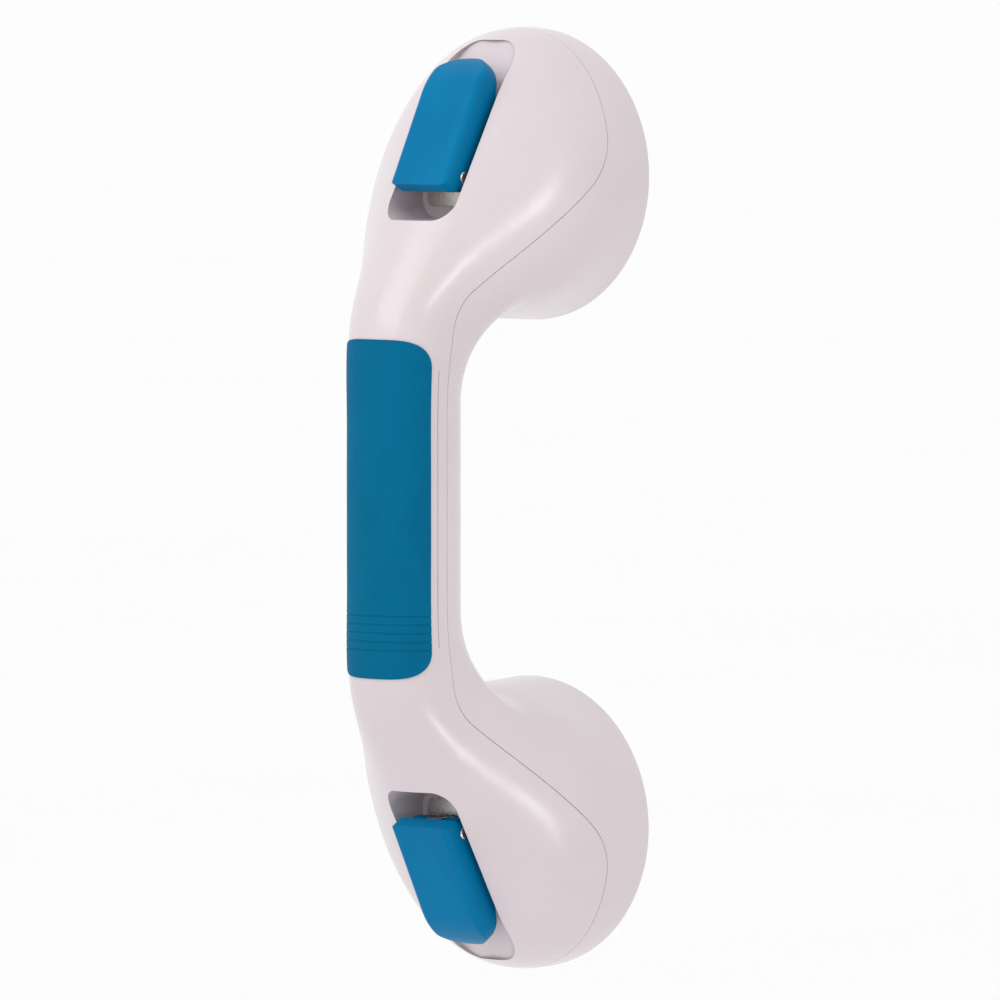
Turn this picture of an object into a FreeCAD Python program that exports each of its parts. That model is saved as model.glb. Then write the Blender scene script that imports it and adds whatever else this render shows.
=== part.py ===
"""Suction grab bar: a hollow split-shell bar with a suction cup and a cam lever at each end.

The bar stands along Z with its middle at z = 0.  The wall is the plane y = 0 and the bar is on its -Y side,
so depth, used all through this file, is the distance from the wall: depth = -y.
Lengths are millimetres.  The upper end is modelled, and the lower end is the same turned half round about Y.
"""
import FreeCAD, Part

import math
import os

V = FreeCAD.Vector
BEYOND = 60.0            # cutting solids run on at least this far, past any piece
NEAR = 1e-3              # lengths closer than this are the same

# ---- driving dimensions ------------------------------------------------------------------------------------
CUP_Z = 100.0            # height of the upper cup's axis above the middle of the bar
RIM_RADIUS = 45.0        # outside radius of the housing's round rim
RIM_DEPTH = 1.5          # the rim stays this far off the wall, on the rubber cup's lip
BAR_FRONT = 81.0         # depth of the grip's front
BAR_BACK = 49.4          # depth of the grip's back
BAR_HALF_WIDTH = 16.5
BAR_Z = 30.0             # the grip is straight for this far either side of the middle
WALL = 3.2               # wall thickness of both shells
SECTIONS = 14            # cross-sections between the rim and the straight grip
SECTION_POINTS = 24

OUTER_CORNERS = [(145.0, RIM_DEPTH), (146.6, 24.8), (58.7, BAR_FRONT), (BAR_Z, BAR_FRONT)]
OUTER_RADII = [36.0, 50.0]
INNER_CORNERS = [(55.0, RIM_DEPTH), (57.6, BAR_BACK), (BAR_Z, BAR_BACK)]
INNER_RADII = [15.0]
OUTER_LAG = 1.5          # how the sections lean: they gather at the rim on the outer side
FRONT_NARROWING = 0.28   # how much narrower the shoulders are than the flanks at the middle of the neck
GRIP_SQUARENESS = 2.4    # superellipse exponent of the grip's section; 2 is an ellipse

SEAM_DEPTH = 65.0        # the parting line along the grip
SEAM_CORNERS = [(-20.0, SEAM_DEPTH), (60.8, SEAM_DEPTH), (104.0, 18.2), (160.0, 5.9)]
SEAM_RADII = [18.0, 32.0]
SEAM_GAP = 0.16
SEAM_LEAN = 0.7          # the sloping stretch of the gap moves this share of it along Z

PAD_HALF_LENGTH = 51.5
PAD_EDGE_DEPTH = 72.2    # the pad wraps round the sides down to here
PAD_PROUD = 0.4
PAD_SUNK = 1.6
PAD_CORNER = 8.5
PAD_GAP = 0.12
RIB_LINES, RIB_START, RIB_PITCH = 5, -43.0, 2.6      # fine lines across the pad's lower end
RIB_LINE_WIDE, RIB_LINE_DEEP = 0.45, 0.12
LINE_OFF, LINE_WIDE, LINE_DEEP = 2.7, 0.4, 0.25      # a fine line in the shell along each side of the pad
LINE_HALF_LENGTH = 42.0

LEVER_TILT = 28.6        # the closed lever's slope towards the wall, degrees from the grip's line
LEVER_LENGTH = 46.5
LEVER_WIDTH = 21.6
LEVER_HEEL = 6.5         # from the pin's axis back to the square end
LEVER_TOP = 8.0          # from the pin's axis out to the lever's face
LEVER_SKIN = 2.4
HEEL_CORNER, TOE_CORNER = 2.4, 10.2   # the lever's corners, seen square to its face
TOE_BEND, TOE_DROP = 15.0, 6.2        # the last stretch of the lever bends down by this much
SKIRT_BOTTOM, HEEL_BOTTOM = -4.4, 3.3
EDGE_ROUND = 2.0
PIN_DEPTH = 49.3
PIN_RADIUS = 2.0
CUP_PULL = 4.0           # how far the cam lifts the middle of the cup
RUNNING_GAP = 0.05
CAM_RADIUS = 6.5
CAM_LIFT = 8.5           # from the pin's axis down to the lobes' lowest line when locked
CAM_GAP = 0.12
LOBE_INSIDE, LOBE_OUTSIDE = 3.4, 8.6

CAM_PLATE_THICK, CAM_PLATE_WIDE, CAM_PLATE_LONG = 0.8, 21.0, 15.0
CAM_PLATE_START = -9.0   # from the cup's axis to the plate's edge on the grip's side
CAM_PLATE_CORNER = 2.0
DECK_THICK = 2.4
WELL_HALF_WIDTH = 13.0
WELL_HEEL_END = 12.8     # the well runs this far from the cup's axis towards the grip
WELL_TOE_END = 41.5      # and this far the other way
WELL_HEEL_CORNER, WELL_TOE_CORNER = 6.0, 9.5
WELL_WALL = 2.0
WELL_FLOOR = -5.4        # height of the sloping floor over the pin's axis, square to the lever's face
DECK = PIN_DEPTH - CAM_LIFT - CAM_GAP - CAM_PLATE_THICK   # depth of the well's level floor

STUD_RADIUS = 4.0
STUD_EYE_HALF = 3.1
STUD_TAIL_RADIUS = 2.4
STUD_PLATE_RADIUS = 11.0
STUD_PLATE_BACK, STUD_PLATE_FRONT = 7.8, 9.2
STUD_EYE_RADIUS = 4.2
RIVET_HEAD_THICK = 0.8
FLOW_HOLES, FLOW_HOLE_RING, FLOW_HOLE_RADIUS = 6, 7.4, 1.4
EYE_START = PIN_DEPTH - 9.6   # depth where the round shank is milled to the flat eye
CUP_RADIUS = 41.5
CUP_BOSS_RADIUS = 13.0
CUP_BOSS_TOP = 12.5
CUP_DOME = 5.2           # depth of the cup's underside at its middle when locked
PLATE_RADIUS = 38.2
PLATE_BACK, PLATE_FRONT = 14.0, 16.5
HUB_RADIUS = 6.5
SKIRT_BACK, SKIRT_THICK = 3.4, 2.2    # the plate's skirt starts this far off the wall, on the cup's lip
RIBS, RIB_THICK, RIB_HIGH, RIB_INSET = 6, 1.6, 6.0, 4.0

PLATE_SCREWS = [(-27.0, 94.0), (27.0, 94.0), (0.0, 130.0)]   # (x, z) of the screws that hold a pressure plate
PLATE_SCREW_TIP = 22.5
SHELL_SCREW_Z = [-40.0, -14.0, 14.0, 40.0]
SHELL_SCREW_LENGTH = 16.0
BOSS_RADIUS = 4.0
PLATE_PILOT, SHELL_PILOT, SHELL_CLEAR = 1.55, 1.35, 1.7   # screw hole radii
SHELL_SEAT_RADIUS, SHELL_SEAT_DEPTH = 3.3, 5.0            # the counterbore round a shell screw's head
SCREW_POINT = 1.5        # length of a screw's pointed end
RECESS_DEEP, RECESS_WIDE = 1.2, 0.8


def at(x, z, depth):
    """A point from its place across the bar, its height and its depth from the wall."""
    return V(x, -depth, z)


def rounded_path(corners, radii):
    """A wire through corners in (z, depth), with each inner corner rounded by its own radius."""
    pts = [at(0, z, d) for z, d in corners]
    edges, start = [], pts[0]
    for i, radius in enumerate(radii, 1):
        back = (pts[i - 1] - pts[i]).normalize()
        ahead = (pts[i + 1] - pts[i]).normalize()
        half = math.acos(max(-1.0, min(1.0, back.dot(ahead)))) / 2
        run = radius / math.tan(half)
        first, last = pts[i] + back * run, pts[i] + ahead * run
        middle_ray = (back + ahead).normalize()
        middle = pts[i] + middle_ray * (radius / math.sin(half) - radius)
        edges += [Part.LineSegment(start, first).toShape(), Part.Arc(first, middle, last).toShape()]
        start = last
    edges.append(Part.LineSegment(start, pts[-1]).toShape())
    return Part.Wire(edges)


OUTER_PATH = rounded_path(OUTER_CORNERS, OUTER_RADII)
INNER_PATH = rounded_path(INNER_CORNERS, INNER_RADII)
OUTER_POINTS = OUTER_PATH.discretize(Number=400)
INNER_POINTS = INNER_PATH.discretize(Number=400)


def along(points, share):
    """The point at a share of the way along evenly spaced points."""
    place = share * (len(points) - 1)
    k = min(int(place), len(points) - 2)
    return points[k] + (points[k + 1] - points[k]) * (place - k)


def section(share, grow, height=None):
    """One closed cross-section of the body, grown outwards: share 0 is the rim and 1 the straight grip."""
    inner, outer = along(INNER_POINTS, share), along(OUTER_POINTS, share ** OUTER_LAG)
    if height is not None:
        inner, outer = V(0, inner.y, height), V(0, outer.y, height)
    axis = (outer - inner).normalize()
    inner, outer = inner - axis * grow, outer + axis * grow
    centre, reach = (inner + outer) * 0.5, (outer - inner).Length / 2
    width = BAR_HALF_WIDTH + (RIM_RADIUS - BAR_HALF_WIDTH) * math.cos(math.pi / 2 * share ** 1.3) ** 2 + grow
    narrowing = FRONT_NARROWING * math.sin(math.pi * share) ** 2
    power = 2 / (2 + (GRIP_SQUARENESS - 2) * share ** 3)
    points = []
    for k in range(SECTION_POINTS):
        angle = 2 * math.pi * k / SECTION_POINTS
        up = math.copysign(abs(math.cos(angle)) ** power, math.cos(angle))
        side = math.copysign(abs(math.sin(angle)) ** power, math.sin(angle))
        points.append(centre + axis * (reach * up) + V(width * side * (1 - narrowing * up), 0, 0))
    return points


def spline(points, stations, closed):
    """A cubic spline through points at the stations given."""
    curve = Part.BSplineCurve()
    curve.interpolate(Points=points, PeriodicFlag=closed, Parameters=stations)
    return curve


def body(grow):
    """The whole body as one solid, grown by a distance; a shrunk body runs on past the rim."""
    rings = [section(k / SECTIONS, grow) for k in range(SECTIONS + 1)]
    rings.append(section(1.0, grow, height=BAR_Z / 2))
    if grow < 0:
        rings.insert(0, [p + V(0, WALL + 0.8, 0) for p in rings[0]])
    lower = [[V(p.x, p.y, -p.z) for p in ring] for ring in reversed(rings)]
    rings = rings + [section(1.0, grow, height=0.0)] + lower
    stations = [0.0]
    for ring, following in zip(rings, rings[1:]):
        step = sum((p - q).Length for p, q in zip(ring, following)) / SECTION_POINTS
        stations.append(stations[-1] + step)
    round_curves = [spline(ring, list(range(SECTION_POINTS + 1)), True) for ring in rings]
    ring_poles = [curve.getPoles() for curve in round_curves]
    long_curves = [spline(list(line), stations, False) for line in zip(*ring_poles)]
    poles = [list(row) for row in zip(*[curve.getPoles() for curve in long_curves])]
    run, ring = long_curves[0], round_curves[0]
    skin = Part.BSplineSurface()
    skin.buildFromPolesMultsKnots(poles, run.getMultiplicities(), ring.getMultiplicities(),
                                  run.getKnots(), ring.getKnots(), False, True, 3, 3)
    side = skin.toShape()
    rims = [e for e in side.Edges if e.BoundBox.YLength < 10 * NEAR]
    shell = Part.Shell([side] + [Part.Face(Part.Wire([e])) for e in rims])
    shell.sewShape()
    solid = Part.Solid(shell)
    if solid.Volume < 0:
        solid.reverse()
    return solid


def across(wire_or_corners, half):
    """A solid from an outline in the (z, depth) plane, reaching the same way to both sides of x = 0."""
    if isinstance(wire_or_corners, list):
        wire_or_corners = Part.makePolygon([at(0, z, d) for z, d in wire_or_corners + wire_or_corners[:1]])
    face = Part.Face(wire_or_corners)
    face.translate(V(-half, 0, 0))
    return face.extrude(V(2 * half, 0, 0))


def rod(x, z, radius, near, far, far_radius=None):
    """A rod or cone along the depth axis between two depths."""
    if far_radius is None:
        return Part.makeCylinder(radius, far - near, at(x, z, near), V(0, -1, 0))
    return Part.makeCone(radius, far_radius, far - near, at(x, z, near), V(0, -1, 0))


def other_end(shape):
    """The same piece at the lower end of the bar."""
    turned = shape.copy()
    turned.rotate(V(0, 0, 0), V(0, 1, 0), 180)
    return turned


def to_end_frame(shape, tilt, depth):
    """Moves a piece drawn with x away from the grip, z out of the wall and its origin on the cup's axis."""
    sine, cosine = math.sin(math.radians(tilt)), math.cos(math.radians(tilt))
    place = FreeCAD.Matrix(0, -1, 0, 0,
                           sine, 0, -cosine, -depth,
                           cosine, 0, sine, CUP_Z,
                           0, 0, 0, 1)
    moved = shape.copy()
    moved.transformShape(place, True)
    return moved


def to_lever_frame(shape):
    """Moves a piece drawn with x along the lever, z out of its face and the pin at the origin to its place."""
    return to_end_frame(shape, LEVER_TILT, PIN_DEPTH)


def rounded_box(x0, x1, half_width, radius_start, radius_end, low, high):
    """A plate with rounded corners, drawn in the lever's frame."""
    plate = Part.makeBox(x1 - x0, 2 * half_width, high - low, V(x0, -half_width, low))
    for x, radius in ((x0, radius_start), (x1, radius_end)):
        corners = [e for e in plate.Edges if max(e.BoundBox.XLength, e.BoundBox.YLength) < NEAR
                   and abs(e.BoundBox.XMin - x) < NEAR]
        plate = plate.makeFillet(radius, corners)
    return plate


# ---- the cam lever ------------------------------------------------------------------------------------------
def cam_centre():
    """The middle of the cam's circle in the lever's frame: it leans so that the lift is nearly even."""
    offset = CUP_PULL / math.sqrt(2)
    angle = math.radians(-45 + LEVER_TILT)
    return V(offset * math.cos(angle), 0, offset * math.sin(angle))


def lever_side(inset):
    """The lever's outline from the side, as a wide solid; with an inset it is the hollow under the skin."""
    toe, top = LEVER_LENGTH - LEVER_HEEL, LEVER_TOP - inset
    bend = (TOE_BEND ** 2 + TOE_DROP ** 2) / (2 * TOE_DROP)
    half_turn = math.asin(TOE_BEND / bend) / 2
    middle = V(toe - TOE_BEND + bend * math.sin(half_turn), 0, top - bend * (1 - math.cos(half_turn)))
    tip = V(toe, 0, top - TOE_DROP)
    corners = [V(-LEVER_HEEL, 0, top), V(toe - TOE_BEND, 0, top), tip]
    if inset:
        lower = [V(toe, 0, -BEYOND), V(-LEVER_HEEL, 0, -BEYOND), corners[0]]
    else:
        lower = [tip + V(-2.2, 0, -1.8), V(toe - 10, 0, -1.2), V(toe - 18, 0, SKIRT_BOTTOM),
                 V(-0.6, 0, SKIRT_BOTTOM), V(-LEVER_HEEL, 0, HEEL_BOTTOM), corners[0]]
    edges = [Part.LineSegment(corners[0], corners[1]).toShape(), Part.Arc(corners[1], middle, tip).toShape()]
    for start, end in zip([tip] + lower, lower):
        edges.append(Part.LineSegment(start, end).toShape())
    face = Part.Face(Part.Wire(edges))
    face.translate(V(0, -BEYOND, 0))
    return face.extrude(V(0, 2 * BEYOND, 0))


def lever_crown():
    """A long block with rounded top corners, straight over the heel and bent down over the toe."""
    half, bend_start = LEVER_WIDTH / 2, LEVER_LENGTH - LEVER_HEEL - TOE_BEND
    block = Part.makeBox(1.0, 2 * half, BEYOND, V(-LEVER_HEEL, -half, LEVER_TOP - BEYOND))
    corners = [e for e in block.Edges if e.BoundBox.XLength > NEAR and e.BoundBox.ZMin > LEVER_TOP - NEAR]
    block = block.makeFillet(EDGE_ROUND, corners)
    end = [f for f in block.Faces if f.BoundBox.XMax < -LEVER_HEEL + NEAR][0]
    straight = end.extrude(V(bend_start + LEVER_HEEL, 0, 0))
    bend = (TOE_BEND ** 2 + TOE_DROP ** 2) / (2 * TOE_DROP)
    strip = end.common(Part.makeBox(10, 60, bend - 1, V(-LEVER_HEEL - 5, -30, LEVER_TOP - bend + 1)))
    strip.translate(V(bend_start + LEVER_HEEL, 0, 0))
    bent = strip.Faces[0].revolve(V(bend_start, 0, LEVER_TOP - bend), V(0, 1, 0), 50)
    under = Part.makeBox(40, 2 * half, 40, V(bend_start, -half, LEVER_TOP - bend - 38))
    return straight.fuse([bent, under])


def make_lever():
    """The lever: a crowned tab with skirts, and two cam lobes that carry the pin."""
    toe, half = LEVER_LENGTH - LEVER_HEEL, LEVER_WIDTH / 2
    tab = rounded_box(-LEVER_HEEL, toe, half, HEEL_CORNER, TOE_CORNER, -BEYOND, BEYOND).common(lever_side(0))
    tab = tab.common(lever_crown())
    hollow = rounded_box(-LEVER_HEEL + LEVER_SKIN, toe - LEVER_SKIN, half - LEVER_SKIN, 1.0,
                         TOE_CORNER - LEVER_SKIN, -BEYOND, BEYOND)
    tab = tab.cut(hollow.common(lever_side(LEVER_SKIN)))
    heel_gate = Part.makeBox(LEVER_SKIN + 1.6, LEVER_WIDTH - 2 * LEVER_SKIN, BEYOND,
                             V(-LEVER_HEEL - 0.5, LEVER_SKIN - half, HEEL_BOTTOM - BEYOND))
    tab = tab.cut(heel_gate)
    middle = cam_centre()
    for y in (LOBE_INSIDE, -LOBE_OUTSIDE):
        thick = LOBE_OUTSIDE - LOBE_INSIDE
        lobe = Part.makeCylinder(CAM_RADIUS, thick, V(middle.x, y, middle.z), V(0, 1, 0))
        web = Part.makeBox(2 * CAM_RADIUS - 2, thick, LEVER_TOP - 1 - middle.z,
                           V(middle.x - CAM_RADIUS + 1, y, middle.z))
        tab = tab.fuse(lobe.fuse(web))
    bore = Part.makeCylinder(PIN_RADIUS, BEYOND, V(0, -BEYOND / 2, 0), V(0, 1, 0))
    return to_lever_frame(tab.cut(bore).removeSplitter())


def make_pin():
    """The steel pin, pressed in the lobes and skirts; the stud's eye turns on it."""
    half = LEVER_WIDTH / 2 + 0.3
    pin = Part.makeCylinder(PIN_RADIUS, 2 * half, V(-half, -PIN_DEPTH, CUP_Z), V(1, 0, 0))
    return pin.makeChamfer(0.35, [e for e in pin.Edges if e.Curve.TypeId == "Part::GeomCircle"])


# ---- what the lever pulls ------------------------------------------------------------------------------------
def make_stud():
    """The pull stud: a riveted tail in the moulded plate, a round shank and a flat eye round the pin."""
    rivet_head = rod(0, CUP_Z, STUD_RADIUS, STUD_PLATE_BACK - RIVET_HEAD_THICK, STUD_PLATE_BACK)
    tail = rod(0, CUP_Z, STUD_TAIL_RADIUS, STUD_PLATE_BACK, STUD_PLATE_FRONT)
    shank = rod(0, CUP_Z, STUD_RADIUS, STUD_PLATE_FRONT, EYE_START)
    neck = rod(0, CUP_Z, STUD_RADIUS, EYE_START, PIN_DEPTH)
    eye_side = V(-STUD_EYE_HALF, -PIN_DEPTH, CUP_Z)
    eye = Part.makeCylinder(STUD_EYE_RADIUS, 2 * STUD_EYE_HALF, eye_side, V(1, 0, 0))
    flat = Part.makeBox(2 * STUD_EYE_HALF, BEYOND, BEYOND, V(-STUD_EYE_HALF, -BEYOND, CUP_Z - BEYOND / 2))
    bore = Part.makeCylinder(PIN_RADIUS + RUNNING_GAP, BEYOND, V(-BEYOND / 2, -PIN_DEPTH, CUP_Z), V(1, 0, 0))
    return rivet_head.fuse([tail, shank, neck.common(flat), eye]).cut(bore).removeSplitter()


def make_stud_plate():
    """The steel disc moulded in the rubber, with holes that the rubber flows through."""
    disc = rod(0, CUP_Z, STUD_PLATE_RADIUS, STUD_PLATE_BACK, STUD_PLATE_FRONT)
    holes = [rod(0, CUP_Z, STUD_TAIL_RADIUS, 0, BEYOND)]
    for k in range(FLOW_HOLES):
        turn = 2 * math.pi * k / FLOW_HOLES
        x, z = FLOW_HOLE_RING * math.cos(turn), CUP_Z + FLOW_HOLE_RING * math.sin(turn)
        holes.append(rod(x, z, FLOW_HOLE_RADIUS, 0, BEYOND))
    return disc.cut(Part.makeCompound(holes))


def make_suction_cup(moulded_in):
    """The rubber cup, locked: its middle is drawn off the wall and its lip lies flat on it."""
    lip, boss = CUP_RADIUS, CUP_Z + CUP_BOSS_RADIUS
    profile = [
        Part.LineSegment(at(0, CUP_Z, CUP_DOME), at(0, CUP_Z + 6, CUP_DOME)).toShape(),
        Part.Arc(at(0, CUP_Z + 6, CUP_DOME), at(0, CUP_Z + 24, 2.6), at(0, CUP_Z + 36.5, 0.0)).toShape(),
        Part.LineSegment(at(0, CUP_Z + 36.5, 0), at(0, CUP_Z + lip, 0)).toShape(),
        Part.LineSegment(at(0, CUP_Z + lip, 0), at(0, CUP_Z + lip, 1.3)).toShape(),
        Part.Arc(at(0, CUP_Z + lip, 1.3), at(0, CUP_Z + 30, 5.2), at(0, CUP_Z + 18, 7.6)).toShape(),
        Part.Arc(at(0, CUP_Z + 18, 7.6), at(0, CUP_Z + 14.2, 8.6), at(0, boss, 11.0)).toShape(),
        Part.LineSegment(at(0, boss, 11.0), at(0, boss, CUP_BOSS_TOP)).toShape(),
        Part.LineSegment(at(0, boss, CUP_BOSS_TOP), at(0, CUP_Z, CUP_BOSS_TOP)).toShape(),
        Part.LineSegment(at(0, CUP_Z, CUP_BOSS_TOP), at(0, CUP_Z, CUP_DOME)).toShape(),
    ]
    disc = Part.Face(Part.Wire(profile)).revolve(at(0, CUP_Z, 0), V(0, -1, 0), 360)
    return disc.cut(moulded_in)


def make_pressure_plate():
    """The ribbed plate behind the cup: its skirt holds the lip to the wall and its hub guides the stud."""
    plate = rod(0, CUP_Z, PLATE_RADIUS, PLATE_BACK, PLATE_FRONT)
    skirt = rod(0, CUP_Z, PLATE_RADIUS, SKIRT_BACK, PLATE_FRONT)
    skirt = skirt.cut(rod(0, CUP_Z, PLATE_RADIUS - SKIRT_THICK, 0, BEYOND))
    hub = rod(0, CUP_Z, HUB_RADIUS, PLATE_FRONT, DECK - DECK_THICK - 0.3)
    ribs = []
    for k in range(RIBS):
        rib = Part.makeBox(PLATE_RADIUS - 1.5 * RIB_INSET, RIB_THICK, RIB_HIGH, V(RIB_INSET, -RIB_THICK / 2, 0))
        rib.rotate(V(0, 0, 0), V(0, 0, 1), 360 * k / RIBS)
        rib.transformShape(FreeCAD.Matrix(1, 0, 0, 0, 0, 0, -1, -PLATE_FRONT, 0, 1, 0, CUP_Z, 0, 0, 0, 1), True)
        ribs.append(rib)
    solid = plate.fuse([skirt, hub] + ribs)
    holes = [rod(0, CUP_Z, STUD_RADIUS + 3 * RUNNING_GAP, 0, BEYOND)]
    for x, z in PLATE_SCREWS:
        holes.append(rod(x, z, 1.8, 0, BEYOND))
        holes.append(rod(x, z, BOSS_RADIUS + 0.3, PLATE_FRONT, BEYOND))
    return solid.cut(Part.makeCompound(holes)).removeSplitter()


def make_screw(x, z, head_depth, length, shank_radius, head_radius, head_thick):
    """A pan-head screw whose head is on the wall side, with a cross recess."""
    head = rod(x, z, head_radius, head_depth, head_depth + head_thick)
    head = head.makeFillet(0.5, [e for e in head.Edges if e.Curve.TypeId == "Part::GeomCircle"
                                 and abs(e.CenterOfMass.y + head_depth) < 1e-6])
    neck, end = head_depth + head_thick, head_depth + head_thick + length
    shank = rod(x, z, shank_radius, neck, end - SCREW_POINT)
    tip = rod(x, z, shank_radius, end - SCREW_POINT, end, 0.5)
    arm = head_radius * 0.6
    slots = [Part.makeBox(2 * a, RECESS_DEEP + 0.1, 2 * b, V(x - a, -head_depth - RECESS_DEEP, z - b))
             for a, b in ((arm, RECESS_WIDE / 2), (RECESS_WIDE / 2, arm))]
    return head.fuse([shank, tip]).cut(slots[0]).cut(slots[1])


def make_plate_screws():
    """The three screws that hold a pressure plate to the front shell."""
    return Part.makeCompound([make_screw(x, z, PLATE_BACK - 2.2, PLATE_SCREW_TIP - PLATE_BACK, 1.5, 3.2, 2.2)
                              for x, z in PLATE_SCREWS])


def make_cam_plate():
    """The steel plate that the lobes bear on."""
    corner = V(-CAM_PLATE_WIDE / 2, -DECK - CAM_PLATE_THICK, CUP_Z + CAM_PLATE_START)
    plate = Part.makeBox(CAM_PLATE_WIDE, CAM_PLATE_THICK, CAM_PLATE_LONG, corner)
    upright = [e for e in plate.Edges if max(e.BoundBox.XLength, e.BoundBox.ZLength) < NEAR]
    plate = plate.makeFillet(CAM_PLATE_CORNER, upright)
    return plate.cut(rod(0, CUP_Z, STUD_RADIUS + 6 * RUNNING_GAP, 0, BEYOND))


# ---- shells and pad ------------------------------------------------------------------------------------------
def well(grow):
    """The room that the lever lies and swings in, grown outwards; it is open at the housing's face."""
    deck = DECK - (DECK_THICK if grow else 0)
    plan = rounded_box(-WELL_HEEL_END - grow, WELL_TOE_END + grow, WELL_HALF_WIDTH + grow,
                       WELL_HEEL_CORNER + grow, WELL_TOE_CORNER + grow, 0, 2 * BEYOND)
    plan = to_end_frame(plan, 0.0, 0.0)
    slope = math.tan(math.radians(LEVER_TILT))
    floor_at_pin = PIN_DEPTH + (WELL_FLOOR - grow) / math.cos(math.radians(LEVER_TILT))
    meet = CUP_Z + (floor_at_pin - deck) / slope
    start, end, front = CUP_Z - BEYOND, CUP_Z + BEYOND, 2 * BEYOND
    room = across([(start, deck), (meet, deck), (end, floor_at_pin - slope * (end - CUP_Z)),
                   (end, front), (start, front)], BEYOND)
    return plan.common(room)


def seam_region(shift):
    """Everything on the wall side of the parting line of the upper half, moved out by shift."""
    grip_end, *bends, rim_end = SEAM_CORNERS
    corners = [grip_end] + [(z + SEAM_LEAN * shift, d) for z, d in bends] + [rim_end]
    corners = [(z, d + shift) for z, d in corners]
    path = rounded_path(corners, SEAM_RADII)
    last, first = corners[-1], corners[0]
    behind = [at(0, *last), at(0, last[0], -BEYOND), at(0, first[0], -BEYOND), at(0, *first)]
    upper = across(Part.Wire(path.Edges + Part.makePolygon(behind).Edges), BEYOND)
    far = last[0] + BEYOND
    return upper.common(across([(0, -2 * BEYOND), (far, -2 * BEYOND), (far, far), (0, far)], 2 * BEYOND))


def both_ends(shape):
    """A piece of the upper half joined to its twin at the lower end."""
    return shape.fuse(other_end(shape)).removeSplitter()


def pad_region(gap):
    """The pad's outline seen from the side, grown by gap."""
    half, front = PAD_HALF_LENGTH + gap, 2 * BEYOND
    corners = [(half, front), (half, PAD_EDGE_DEPTH - gap), (-half, PAD_EDGE_DEPTH - gap), (-half, front)]
    path = rounded_path(corners, [PAD_CORNER, PAD_CORNER])
    top = Part.LineSegment(at(0, -half, front), at(0, half, front)).toShape()
    return across(Part.Wire(path.Edges + [top]), BEYOND)


def cut_skin(shape, depth, region):
    """Cuts a shape down by a depth below the body's own surface, inside a region."""
    return shape.cut(body(1.0).cut(body(-depth)).common(region))


def make_shells(pad_seat):
    """The front and back shells, with the lever wells, bosses, pad seat and parting gap."""
    skin = body(0.0).cut(body(-WALL))
    back_side = both_ends(seam_region(0.0))
    front_side_cut = both_ends(seam_region(SEAM_GAP))

    # Walls and bosses stop half-way through the skin, so none of their faces lies in the skin's own.
    mid_skin = body(-WALL / 2)
    wells = well(WELL_WALL).common(mid_skin)
    bosses = [rod(x, z, BOSS_RADIUS, PLATE_FRONT, BEYOND).common(mid_skin) for x, z in PLATE_SCREWS]
    end_room = well(0.0)
    stud_way = rod(0, CUP_Z, STUD_RADIUS + 0.6, PLATE_BACK, DECK + 5)
    pilot_end = PLATE_SCREW_TIP + 0.4
    pilots = Part.makeCompound([rod(x, z, PLATE_PILOT, PLATE_BACK, pilot_end) for x, z in PLATE_SCREWS])

    front = skin.cut(front_side_cut)
    for piece in [wells] + bosses:
        front = front.fuse([piece, other_end(piece)])
    grip_start = SEAM_DEPTH + SEAM_GAP
    front = front.fuse([rod(0, z, BOSS_RADIUS, grip_start, BAR_FRONT).common(mid_skin) for z in SHELL_SCREW_Z])
    for piece in (end_room, stud_way, pilots):
        front = front.cut(piece).cut(other_end(piece))
    screw_end = BAR_BACK + SHELL_SEAT_DEPTH + SHELL_SCREW_LENGTH
    for z in SHELL_SCREW_Z:
        front = front.cut(rod(0, z, SHELL_PILOT, BAR_BACK, screw_end + 3.6))
    front = front.cut(pad_seat.common(pad_region(PAD_GAP)))
    straight = across([(-LINE_HALF_LENGTH, 0), (LINE_HALF_LENGTH, 0), (LINE_HALF_LENGTH, 2 * BEYOND),
                       (-LINE_HALF_LENGTH, 2 * BEYOND)], BEYOND)
    line = pad_region(LINE_OFF + LINE_WIDE).cut(pad_region(LINE_OFF)).common(straight)
    front = cut_skin(front, LINE_DEEP, line)

    back = skin.common(back_side)
    back = back.fuse([rod(0, z, BOSS_RADIUS, BAR_BACK, SEAM_DEPTH).common(mid_skin) for z in SHELL_SCREW_Z])
    for z in SHELL_SCREW_Z:
        back = back.cut(rod(0, z, SHELL_CLEAR, 0, 2 * BEYOND))
        back = back.cut(rod(0, z, SHELL_SEAT_RADIUS, 0, BAR_BACK + SHELL_SEAT_DEPTH))
    return front, back


def make_pad(pad_seat_inside):
    """The soft grip pad, let into the front shell, with fine lines across its lower end."""
    pad = body(PAD_PROUD).cut(pad_seat_inside).common(pad_region(0.0))
    lines = [across([(z, 0), (z + RIB_LINE_WIDE, 0), (z + RIB_LINE_WIDE, 2 * BEYOND), (z, 2 * BEYOND)], BEYOND)
             for z in (RIB_START + RIB_PITCH * k for k in range(RIB_LINES))]
    return cut_skin(pad, RIB_LINE_DEEP - PAD_PROUD, Part.makeCompound(lines))


def make_shell_screws():
    """The four screws that close the two shells along the grip."""
    head = BAR_BACK + SHELL_SEAT_DEPTH - 2.2
    return Part.makeCompound([make_screw(0, z, head, SHELL_SCREW_LENGTH, 1.3, 2.9, 2.2) for z in SHELL_SCREW_Z])


def write(name, shape):
    """Writes one node, and says how many solids it has and their volume."""
    solids = shape.Solids
    shape = solids[0] if len(solids) == 1 else Part.makeCompound(solids)
    ok = all(s.isValid() and s.isClosed() for s in solids)
    print(f"{name:24s} solids {len(solids)}  volume {shape.Volume / 1000:8.3f} cm3  {'ok' if ok else 'BAD'}")
    shape.exportStep(f"parts/{name}.step")


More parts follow.
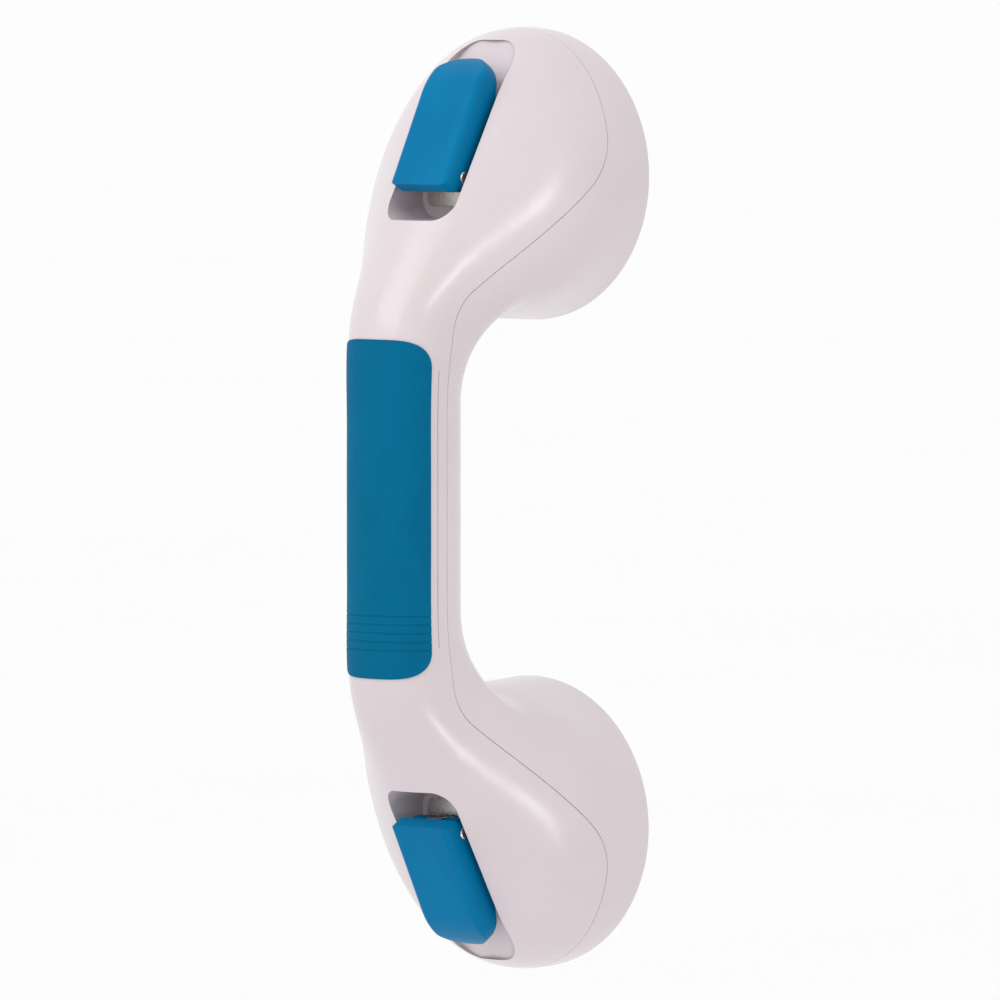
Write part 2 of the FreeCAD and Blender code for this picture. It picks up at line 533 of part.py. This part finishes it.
def main():
    """Builds every piece and writes one STEP file for each."""
    os.makedirs("parts", exist_ok=True)
    pad_seat_inside = body(-PAD_SUNK)
    front, back = make_shells(body(2.0).cut(pad_seat_inside))
    write("front_shell", front)
    write("back_shell", back)
    write("grip_pad", make_pad(pad_seat_inside))
    write("shell_screws", make_shell_screws())

    stud, stud_plate = make_stud(), make_stud_plate()
    pieces = {
        "lever": make_lever(),
        "lever_pin": make_pin(),
        "pull_stud": stud,
        "stud_plate": stud_plate,
        "suction_cup": make_suction_cup([stud, stud_plate]),
        "pressure_plate": make_pressure_plate(),
        "plate_screws": make_plate_screws(),
        "cam_plate": make_cam_plate(),
    }
    for name, shape in pieces.items():
        write(f"upper_{name}", shape)
        write(f"lower_{name}", other_end(shape))


main()
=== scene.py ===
"""Looks of the suction grab bar: finishes for the shells, levers, pad and fittings, and the rubber cups.

Lengths are metres.  +Z runs along the bar, the wall is the plane y = 0, and the bar is on its -Y side.
"""
import logging
import math
from dataclasses import dataclass
from enum import Enum
from typing import Any

import bmesh
import bpy
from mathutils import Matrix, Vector


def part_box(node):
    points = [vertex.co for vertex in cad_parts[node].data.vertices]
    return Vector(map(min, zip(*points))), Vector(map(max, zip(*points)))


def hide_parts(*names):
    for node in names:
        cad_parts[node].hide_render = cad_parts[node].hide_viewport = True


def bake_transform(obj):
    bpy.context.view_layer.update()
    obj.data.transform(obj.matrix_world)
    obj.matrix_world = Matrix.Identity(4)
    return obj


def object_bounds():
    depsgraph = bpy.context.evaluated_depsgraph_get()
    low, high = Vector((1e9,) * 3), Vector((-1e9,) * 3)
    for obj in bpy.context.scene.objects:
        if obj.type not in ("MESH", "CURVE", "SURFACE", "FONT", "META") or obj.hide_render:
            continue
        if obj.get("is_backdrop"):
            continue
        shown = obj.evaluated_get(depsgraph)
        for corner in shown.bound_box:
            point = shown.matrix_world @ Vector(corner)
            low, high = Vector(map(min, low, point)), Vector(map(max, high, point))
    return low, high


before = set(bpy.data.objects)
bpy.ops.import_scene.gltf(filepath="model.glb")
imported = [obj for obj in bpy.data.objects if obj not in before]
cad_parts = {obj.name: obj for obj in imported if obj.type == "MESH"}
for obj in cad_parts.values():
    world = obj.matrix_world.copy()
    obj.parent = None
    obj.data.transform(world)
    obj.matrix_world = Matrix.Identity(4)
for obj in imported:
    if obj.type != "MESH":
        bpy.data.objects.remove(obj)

log = logging.getLogger("grab_bar")

Value = Any                      # a Signal, a number or a tuple of numbers


class End(Enum):
    """The two ends of the bar, each with the side of the middle that it is on."""

    UPPER = 1
    LOWER = -1

    @property
    def prefix(self) -> str:
        """The start of this end's node and body names."""
        return self.name.lower()


class Pattern(Enum):
    """The procedural patterns that finishes are made from."""

    CLOUD = "ShaderNodeTexNoise"
    CELLS = "ShaderNodeTexVoronoi"


class Signal:
    """A shader socket that carries a number and takes part in Python expressions."""

    def __init__(self, recipe: "Recipe", socket: bpy.types.NodeSocket) -> None:
        """Wraps a socket.

        Args:
            recipe: the material being built.
            socket: the output socket that carries the number.
        """
        self.recipe = recipe
        self.socket = socket

    def _with(self, operation: str, *values: Value) -> "Signal":
        """Adds one Math node over the values given."""
        return self.recipe.add("ShaderNodeMath", {"operation": operation}, dict(enumerate(values)))

    def __add__(self, other: Value) -> "Signal":
        """self + other."""
        return self._with("ADD", self, other)

    __radd__ = __add__

    def __sub__(self, other: Value) -> "Signal":
        """self - other."""
        return self._with("SUBTRACT", self, other)

    def __rsub__(self, other: Value) -> "Signal":
        """other - self."""
        return self._with("SUBTRACT", other, self)

    def __mul__(self, other: Value) -> "Signal":
        """self * other."""
        return self._with("MULTIPLY", self, other)

    __rmul__ = __mul__

    def step(self, low: float, high: float) -> "Signal":
        """A smooth rise from 0 at low to 1 at high."""
        limits = {"Value": self, "From Min": low, "From Max": high, "To Min": 0.0, "To Max": 1.0}
        return self.recipe.add("ShaderNodeMapRange", {"interpolation_type": "SMOOTHSTEP"}, limits)


class Recipe:
    """One material while its nodes are put together."""

    def __init__(self, name: str) -> None:
        """Starts an empty material with a Principled shader.

        Args:
            name: the material's name.
        """
        self.material = bpy.data.materials.new(name)
        self.material.use_nodes = True
        self.tree = self.material.node_tree
        self.shader = next(n for n in self.tree.nodes if n.type == "BSDF_PRINCIPLED")
        self.place = self.add("ShaderNodeTexCoord", {}, {}, "Object")

    def add(self, kind: str, settings: dict[str, Any], inputs: dict[Any, Value],
            output: Any = 0) -> Signal:
        """Adds any node.

        Args:
            kind: the node's type.
            settings: its settings, set before its sockets.
            inputs: socket name or number to a Signal or a plain value.
            output: name or number of the output that is wanted.

        Returns:
            The output, wrapped.
        """
        node = self.tree.nodes.new(kind)
        for key, value in settings.items():
            setattr(node, key, value)
        for key, value in inputs.items():
            self.feed(node.inputs[key], value)
        return Signal(self, node.outputs[output])

    def feed(self, socket: bpy.types.NodeSocket, value: Value) -> None:
        """Links a Signal to a socket, or sets the socket's own value."""
        if isinstance(value, Signal):
            self.tree.links.new(value.socket, socket)
        else:
            socket.default_value = value

    def pattern(self, kind: Pattern, scale: float, stretch: tuple[float, float, float] = (1.0, 1.0, 1.0),
                **inputs: float) -> Signal:
        """A procedural pattern over the piece's own space.

        Args:
            kind: which pattern.
            scale: repeats in a metre.
            stretch: factors on the three directions before the pattern is laid.
            inputs: the pattern's other sockets, with spaces written as underscores.

        Returns:
            The pattern's number.
        """
        spot = self.add("ShaderNodeVectorMath", {"operation": "MULTIPLY"}, {0: self.place, 1: stretch})
        sockets = {"Vector": spot, "Scale": scale}
        sockets.update({name.replace("_", " "): value for name, value in inputs.items()})
        return self.add(kind.value, {}, sockets, "Distance" if kind is Pattern.CELLS else "Fac")

    def tint(self, share: Value, first: tuple[float, ...], second: Value) -> Signal:
        """Mixes two colours, and returns the mixed colour."""
        node = self.tree.nodes.new("ShaderNodeMix")
        node.data_type = "RGBA"
        self.feed(node.inputs["Factor"], share)
        colours = [s for s in node.inputs if s.type == "RGBA"]
        self.feed(colours[0], first)
        self.feed(colours[1], second)
        return Signal(self, next(s for s in node.outputs if s.type == "RGBA"))

    def relief(self, height: Signal, depth: float, strength: float) -> Signal:
        """Turns a height pattern into a bumped normal; depth is in metres."""
        sockets = {"Height": height, "Distance": depth, "Strength": strength}
        return self.add("ShaderNodeBump", {}, sockets, "Normal")

    def finish(self, **sockets: Value) -> bpy.types.Material:
        """Sets the shader's sockets, with spaces written as underscores, and returns the material."""
        for name, value in sockets.items():
            self.feed(self.shader.inputs[name.replace("_", " ")], value)
        return self.material


def rgba(red: float, green: float, blue: float) -> tuple[float, float, float, float]:
    """A colour with full opacity."""
    return (red, green, blue, 1.0)


@dataclass(frozen=True)
class MouldedShell:
    """Glossy white moulded ABS with a faint cool tint and a moulding's slight waviness."""

    name: str = "white_shell"
    body: tuple[float, ...] = rgba(0.615, 0.545, 0.575)
    shade: tuple[float, ...] = rgba(0.595, 0.53, 0.545)
    speck: tuple[float, ...] = rgba(0.55, 0.50, 0.52)
    gloss: float = 0.23
    ripple: float = 0.00001      # height of the surface's fine waviness

    def build(self) -> bpy.types.Material:
        """Builds the material."""
        mix = Recipe(self.name)
        drift = mix.pattern(Pattern.CLOUD, 22.0, Detail=4.0, Roughness=0.6)
        smear = mix.pattern(Pattern.CLOUD, 140.0, (1.0, 1.0, 0.3), Detail=5.0)
        peel = mix.pattern(Pattern.CLOUD, 420.0, Detail=2.0)
        specks = mix.pattern(Pattern.CELLS, 900.0).step(0.0, 0.05)
        colour = mix.tint(drift.step(0.35, 0.7), self.body, self.shade)
        colour = mix.tint((1 - specks) * 0.05, colour, self.speck)
        rough = self.gloss + 0.03 * (smear - 0.5) + 0.02 * drift
        return mix.finish(Base_Color=colour, Roughness=rough, Normal=mix.relief(peel, self.ripple, 0.3),
                          IOR=1.5, Coat_Weight=0.15, Coat_Roughness=0.2, Subsurface_Weight=0.05,
                          Subsurface_Scale=0.002)


@dataclass(frozen=True)
class LeverPlastic:
    """Semi-gloss blue acetal, lighter where fingers have burnished it."""

    name: str = "blue_lever"
    body: tuple[float, ...] = rgba(0.0, 0.145, 0.315)
    burnished: tuple[float, ...] = rgba(0.0, 0.162, 0.34)
    scuffed: tuple[float, ...] = rgba(0.01, 0.23, 0.45)
    grain: float = 0.00003       # height of the moulded grain

    def build(self) -> bpy.types.Material:
        """Builds the material."""
        mix = Recipe(self.name)
        rub = mix.pattern(Pattern.CLOUD, 60.0, (1.0, 1.0, 0.5), Detail=4.0)
        fine = mix.pattern(Pattern.CLOUD, 1300.0, Detail=3.0)
        scuffs = mix.pattern(Pattern.CLOUD, 260.0, (5.0, 1.0, 0.4), Detail=6.0, Roughness=0.7)
        scuffs = scuffs.step(0.58, 0.72)
        colour = mix.tint(rub.step(0.4, 0.75), self.body, self.burnished)
        colour = mix.tint(scuffs * 0.05, colour, self.scuffed)
        return mix.finish(Base_Color=colour, Roughness=0.36 + 0.12 * (fine - 0.5) + 0.08 * scuffs,
                          Normal=mix.relief(fine + scuffs * 0.3, self.grain, 0.5), IOR=1.46,
                          Specular_IOR_Level=0.06)


@dataclass(frozen=True)
class SoftPad:
    """Matte soft-touch elastomer, with a fine spark-eroded grain."""

    name: str = "soft_pad"
    body: tuple[float, ...] = rgba(0.0, 0.112, 0.222)
    rubbed: tuple[float, ...] = rgba(0.0, 0.124, 0.242)
    pitted: tuple[float, ...] = rgba(0.0, 0.085, 0.175)
    grain: float = 0.00005       # depth of the spark-eroded grain

    def build(self) -> bpy.types.Material:
        """Builds the material."""
        mix = Recipe(self.name)
        hands = mix.pattern(Pattern.CLOUD, 45.0, (1.0, 1.0, 0.6), Detail=5.0, Roughness=0.65)
        fine = mix.pattern(Pattern.CLOUD, 1700.0, Detail=4.0, Roughness=0.7)
        pits = mix.pattern(Pattern.CELLS, 1500.0).step(0.05, 0.45)
        colour = mix.tint(hands.step(0.38, 0.68), self.body, self.rubbed)
        colour = mix.tint((1 - pits) * 0.20, colour, self.pitted)
        return mix.finish(Base_Color=colour, Roughness=0.62 + 0.14 * (fine - 0.5) - 0.06 * hands,
                          Normal=mix.relief(fine * 0.6 + pits * 0.5, self.grain, 0.7), IOR=1.42,
                          Specular_IOR_Level=0.06)


@dataclass(frozen=True)
class CupRubber:
    """Soft grey rubber, with a faint bloom."""

    name: str = "cup_rubber"
    body: tuple[float, ...] = rgba(0.235, 0.24, 0.25)
    bloom: tuple[float, ...] = rgba(0.262, 0.266, 0.275)
    grain: float = 0.00005       # height of the rubber's fine grain

    def build(self) -> bpy.types.Material:
        """Builds the material."""
        mix = Recipe(self.name)
        dust = mix.pattern(Pattern.CLOUD, 70.0, Detail=5.0, Roughness=0.6)
        fine = mix.pattern(Pattern.CLOUD, 900.0, Detail=3.0)
        colour = mix.tint(dust.step(0.4, 0.7), self.body, self.bloom)
        return mix.finish(Base_Color=colour, Roughness=0.42 + 0.08 * (dust - 0.5) + 0.06 * fine,
                          Normal=mix.relief(fine, self.grain, 0.6), IOR=1.5, Subsurface_Weight=0.08,
                          Subsurface_Scale=0.001)


@dataclass(frozen=True)
class InnerNylon:
    """Off-white glass-filled nylon with fibre marks."""

    name: str = "inner_plastic"
    body: tuple[float, ...] = rgba(0.62, 0.61, 0.59)
    fibre: tuple[float, ...] = rgba(0.70, 0.69, 0.66)
    grain: float = 0.00006       # height of the fibres

    def build(self) -> bpy.types.Material:
        """Builds the material."""
        mix = Recipe(self.name)
        fibres = mix.pattern(Pattern.CLOUD, 300.0, (0.3, 1.0, 1.0), Detail=6.0, Roughness=0.7)
        colour = mix.tint(fibres.step(0.45, 0.7), self.body, self.fibre)
        return mix.finish(Base_Color=colour, Roughness=0.5 + 0.15 * (fibres - 0.5),
                          Normal=mix.relief(fibres, self.grain, 0.6))


@dataclass(frozen=True)
class TurnedSteel:
    """Stainless steel with tool marks, or duller zinc-plated steel for screws."""

    name: str
    body: tuple[float, ...]
    tool_marks: float = 500.0    # in a metre
    dull: float = 0.28
    stained: tuple[float, ...] = rgba(0.36, 0.31, 0.27)
    grain: float = 0.00003       # depth of the tool marks

    def build(self) -> bpy.types.Material:
        """Builds the material."""
        mix = Recipe(self.name)
        marks = mix.pattern(Pattern.CLOUD, self.tool_marks, (4.0, 1.0, 1.0), Detail=4.0)
        stain = mix.pattern(Pattern.CLOUD, 130.0, Detail=4.0).step(0.5, 0.8)
        colour = mix.tint(stain * 0.4, self.body, self.stained)
        rough = self.dull + 0.2 * (marks - 0.5) + 0.1 * stain
        return mix.finish(Base_Color=colour, Metallic=1.0, Roughness=rough,
                          Normal=mix.relief(marks, self.grain, 0.6))


@dataclass(frozen=True)
class StudioFloor:
    """Plain pale studio floor."""

    name: str = "studio_floor"
    body: tuple[float, ...] = rgba(0.97, 0.97, 0.97)
    pale: tuple[float, ...] = rgba(0.99, 0.99, 0.99)

    def build(self) -> bpy.types.Material:
        """Builds the material."""
        mix = Recipe(self.name)
        cloud = mix.pattern(Pattern.CLOUD, 1.5, Detail=2.0)
        return mix.finish(Base_Color=mix.tint(cloud, self.body, self.pale),
                          Roughness=0.7 + 0.1 * cloud)


def dress(node: str, finish: bpy.types.Material) -> None:
    """Puts a finish on a CAD node.

    Args:
        node: the node's name.
        finish: the material.
    """
    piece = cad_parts[node]
    piece.data.materials.clear()
    piece.data.materials.append(finish)
    log.info("%s: %s", node, finish.name)


@dataclass
class Handle:
    """The two shells, the grip pad and the screws that close the shells."""

    shell: MouldedShell = MouldedShell()
    pad: SoftPad = SoftPad()
    screws: TurnedSteel = TurnedSteel("shell_screw_steel", rgba(0.56, 0.56, 0.57))

    def build(self) -> None:
        """Dresses the handle's own pieces."""
        white = self.shell.build()
        dress("front_shell", white)
        dress("back_shell", white)
        dress("grip_pad", self.pad.build())
        dress("shell_screws", self.screws.build())


@dataclass
class SuctionCup:
    """One rubber cup, turned from its profile."""

    end: End
    finish: bpy.types.Material
    lip_radius: float = 0.0415
    lip_thick: float = 0.0013
    lip_round: float = 0.0004
    lip_bevel: float = 0.0003
    seal_radius: float = 0.0365
    seal_rings: tuple[float, ...] = (0.0378, 0.0394)
    ring_half: float = 0.0003    # half the width of a groove in the sealing face
    ring_deep: float = 0.00028
    flat_radius: float = 0.006   # the underside is flat out to here
    dome: float = 0.0052         # depth of the underside's middle
    back_radius: float = 0.0184  # where the cup's back meets the boss's foot
    back_depth: float = 0.0076
    boss_radius: float = 0.0130
    boss_foot: float = 0.0112
    boss_top: float = 0.0125
    boss_round: float = 0.0005
    shank_radius: float = 0.00405
    shank_bottom: float = 0.0093
    hole_round: float = 0.0004
    rest_depth: float = 0.0003   # depth from the wall for the rubber beside the housing
    pull_depth: float = 0.0080   # depth from the wall for the rubber at the stud
    under_steps: int = 15
    back_steps: int = 11
    facets: int = 128

    def profile(self) -> list[tuple[float, float]]:
        """The closed half-section, as radius and depth from the wall, from the underside's middle out."""
        under = [(0.0, self.dome), (self.flat_radius, self.dome)]
        for k in range(1, self.under_steps):
            share = k / self.under_steps
            fall = 0.5 + 0.5 * math.cos(math.pi * share)
            under.append((self.flat_radius + share * (self.seal_radius - self.flat_radius),
                          self.dome * fall ** 1.1))
        seal = [(self.seal_radius, 0.0)]
        for ring in self.seal_rings:
            seal += [(ring - self.ring_half, 0.0), (ring, self.ring_deep), (ring + self.ring_half, 0.0)]
        edge = self.lip_radius - self.lip_round
        lip = [(self.lip_radius - self.lip_bevel, 0.0), (self.lip_radius, self.lip_bevel),
               (self.lip_radius, self.lip_thick - self.lip_round), (edge, self.lip_thick)]
        back = []
        for k in range(1, self.back_steps + 1):
            share = k / self.back_steps
            rise = math.sin(math.pi / 2 * share) ** 0.95
            back.append((edge - share * (self.lip_radius - self.back_radius),
                         self.lip_thick + (self.back_depth - self.lip_thick) * rise))
        foot = [(0.0158, 0.0079), (0.0141, 0.0088), (0.0132, 0.0101), (self.boss_radius, self.boss_foot)]
        boss = [(self.boss_radius, self.boss_top - self.boss_round),
                (self.boss_radius - self.boss_round, self.boss_top)]
        hole = [(self.shank_radius + self.hole_round, self.boss_top),
                (self.shank_radius, self.boss_top - self.hole_round),
                (self.shank_radius, self.shank_bottom), (0.0, self.shank_bottom)]
        return under + seal + lip + back + foot + boss + hole

    def ring(self, shape: bmesh.types.BMesh, centre: Vector, radius: float, depth: float) -> list[Any]:
        """Adds one ring of points round the cup's axis, or the single point where the radius is 0."""
        points = []
        for k in range(1 if radius == 0.0 else self.facets):
            turn = 2 * math.pi * k / self.facets
            points.append(shape.verts.new((centre.x + radius * math.cos(turn), -depth,
                                           centre.z + radius * math.sin(turn))))
        return points

    def build(self) -> bpy.types.Object:
        """Turns the profile round the cup's axis, and hides the CAD cup.

        Returns:
            The cup.
        """
        low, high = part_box(f"{self.end.prefix}_suction_cup")
        centre = (low + high) / 2
        shape = bmesh.new()
        rings = [self.ring(shape, centre, radius, depth) for radius, depth in self.profile()]
        for ring, following in zip(rings, rings[1:]):
            for k in range(self.facets):
                near = [ring[k % len(ring)], ring[(k + 1) % len(ring)]]
                far = [following[(k + 1) % len(following)], following[k % len(following)]]
                corners = list(dict.fromkeys(near + far))
                shape.faces.new(corners).smooth = True
        bmesh.ops.recalc_face_normals(shape, faces=shape.faces)
        mesh = bpy.data.meshes.new(f"{self.end.prefix}_rubber_cup")
        shape.to_mesh(mesh)
        shape.free()
        mesh.materials.append(self.finish)
        cup = bpy.data.objects.new(mesh.name, mesh)
        bpy.context.scene.collection.objects.link(cup)
        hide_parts(f"{self.end.prefix}_suction_cup")
        -self.rest_depth
        -self.pull_depth
        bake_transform(cup)
        log.info("%s: %d faces", cup.name, len(mesh.polygons))
        return cup


@dataclass
class Fastening:
    """One end's lever, pin, stud, plates, screws and cup."""

    end: End
    lever: bpy.types.Material
    steel: bpy.types.Material
    zinc: bpy.types.Material
    nylon: bpy.types.Material
    rubber: bpy.types.Material

    def build(self) -> None:
        """Dresses the end's CAD pieces and builds its cup."""
        finishes = {"lever": self.lever, "lever_pin": self.steel, "pull_stud": self.steel,
                    "stud_plate": self.zinc, "cam_plate": self.steel, "pressure_plate": self.nylon,
                    "plate_screws": self.zinc}
        for piece, finish in finishes.items():
            dress(f"{self.end.prefix}_{piece}", finish)
        SuctionCup(self.end, self.rubber).build()


def direction(azimuth: float, elevation: float) -> Vector:
    """The direction from the part towards a place at these angles, in degrees."""
    turn, rise = math.radians(azimuth), math.radians(elevation)
    return Vector((math.sin(turn) * math.cos(rise), -math.cos(turn) * math.cos(rise), math.sin(rise)))


@dataclass(frozen=True)
class SoftBox:
    """A square lamp that faces the part, placed by its direction in degrees and its distance."""

    name: str
    azimuth: float
    elevation: float
    away: float
    side: float
    watts: float

    def build(self) -> None:
        """Adds the lamp."""
        light = bpy.data.lights.new(self.name, "AREA")
        light.size = self.side
        light.energy = self.watts
        lamp = bpy.data.objects.new(self.name, light)
        lamp.location = direction(self.azimuth, self.elevation) * self.away
        lamp.rotation_euler = lamp.location.to_track_quat("Z", "Y").to_euler()
        bpy.context.scene.collection.objects.link(lamp)


@dataclass
class Studio:
    """Floor, soft lights, pale surround and camera."""

    azimuth: float = 38.1
    elevation: float = 3.3
    distance: float = 3.79
    aim_right: float = -0.01114
    aim_up: float = -0.0008
    view_width: float = 0.30864      # how much of the part's own plane the picture takes in
    sensor_width: float = 36.0       # millimetres
    surround_strength: float = 1.0
    floor_drop: float = 0.6
    floor_reach: float = 60.0
    lamps: tuple[SoftBox, ...] = (
        SoftBox("key", -15.0, 38.0, 0.9, 0.6, 2.3),
        SoftBox("upper shoulder", 56.0, 32.0, 0.8, 0.08, 0.30),
        SoftBox("lower shoulder", 56.0, -38.0, 0.8, 0.08, 0.28),
    )

    def build(self) -> None:
        """Builds the whole studio round the part."""
        self.floor()
        self.surround()
        for lamp in self.lamps:
            lamp.build()
        self.camera()

    def floor(self) -> None:
        """A large pale floor below the part."""
        low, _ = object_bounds()
        mesh = bpy.data.meshes.new("floor")
        reach = self.floor_reach
        corners = [(-reach, -reach, 0), (reach, -reach, 0), (reach, reach, 0), (-reach, reach, 0)]
        mesh.from_pydata(corners, [], [(0, 1, 2, 3)])
        mesh.materials.append(StudioFloor().build())
        floor = bpy.data.objects.new("floor", mesh)
        floor.location = (0, 0, low[2] - self.floor_drop)
        bpy.context.scene.collection.objects.link(floor)
        floor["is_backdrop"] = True

    def surround(self) -> None:
        """A pale, even surround."""
        world = bpy.data.worlds.new("surround")
        world.use_nodes = True
        sky = world.node_tree.nodes["Background"]
        sky.inputs["Color"].default_value = rgba(1.0, 1.0, 1.0)
        sky.inputs["Strength"].default_value = self.surround_strength
        bpy.context.scene.world = world

    def camera(self) -> None:
        """A long lens at the viewing angle."""
        lens = bpy.data.cameras.new("camera")
        lens.sensor_width = self.sensor_width
        lens.lens = lens.sensor_width * self.distance / self.view_width
        lens.clip_end = 4 * self.floor_reach
        turn = math.radians(self.azimuth)
        back = direction(self.azimuth, self.elevation)
        right = Vector((math.cos(turn), math.sin(turn), 0.0))
        aim = right * self.aim_right + back.cross(right) * self.aim_up
        camera = bpy.data.objects.new("camera", lens)
        camera.location = aim + back * self.distance
        camera.rotation_euler = back.to_track_quat("Z", "Y").to_euler()
        bpy.context.scene.collection.objects.link(camera)
        bpy.context.scene.camera = camera


def main() -> None:
    """Builds every sub-assembly, then the studio."""
    logging.basicConfig(level=logging.INFO, format="%(name)s: %(message)s")
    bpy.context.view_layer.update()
    Handle().build()
    lever = LeverPlastic().build()
    steel = TurnedSteel("bright_steel", rgba(0.62, 0.58, 0.54)).build()
    zinc = TurnedSteel("zinc_steel", rgba(0.52, 0.52, 0.53), dull=0.36).build()
    nylon, rubber = InnerNylon().build(), CupRubber().build()
    for end in End:
        Fastening(end, lever, steel, zinc, nylon, rubber).build()
    Studio().build()
    bpy.context.scene.view_settings.view_transform = "Standard"


if __name__ == "__main__":
    main()
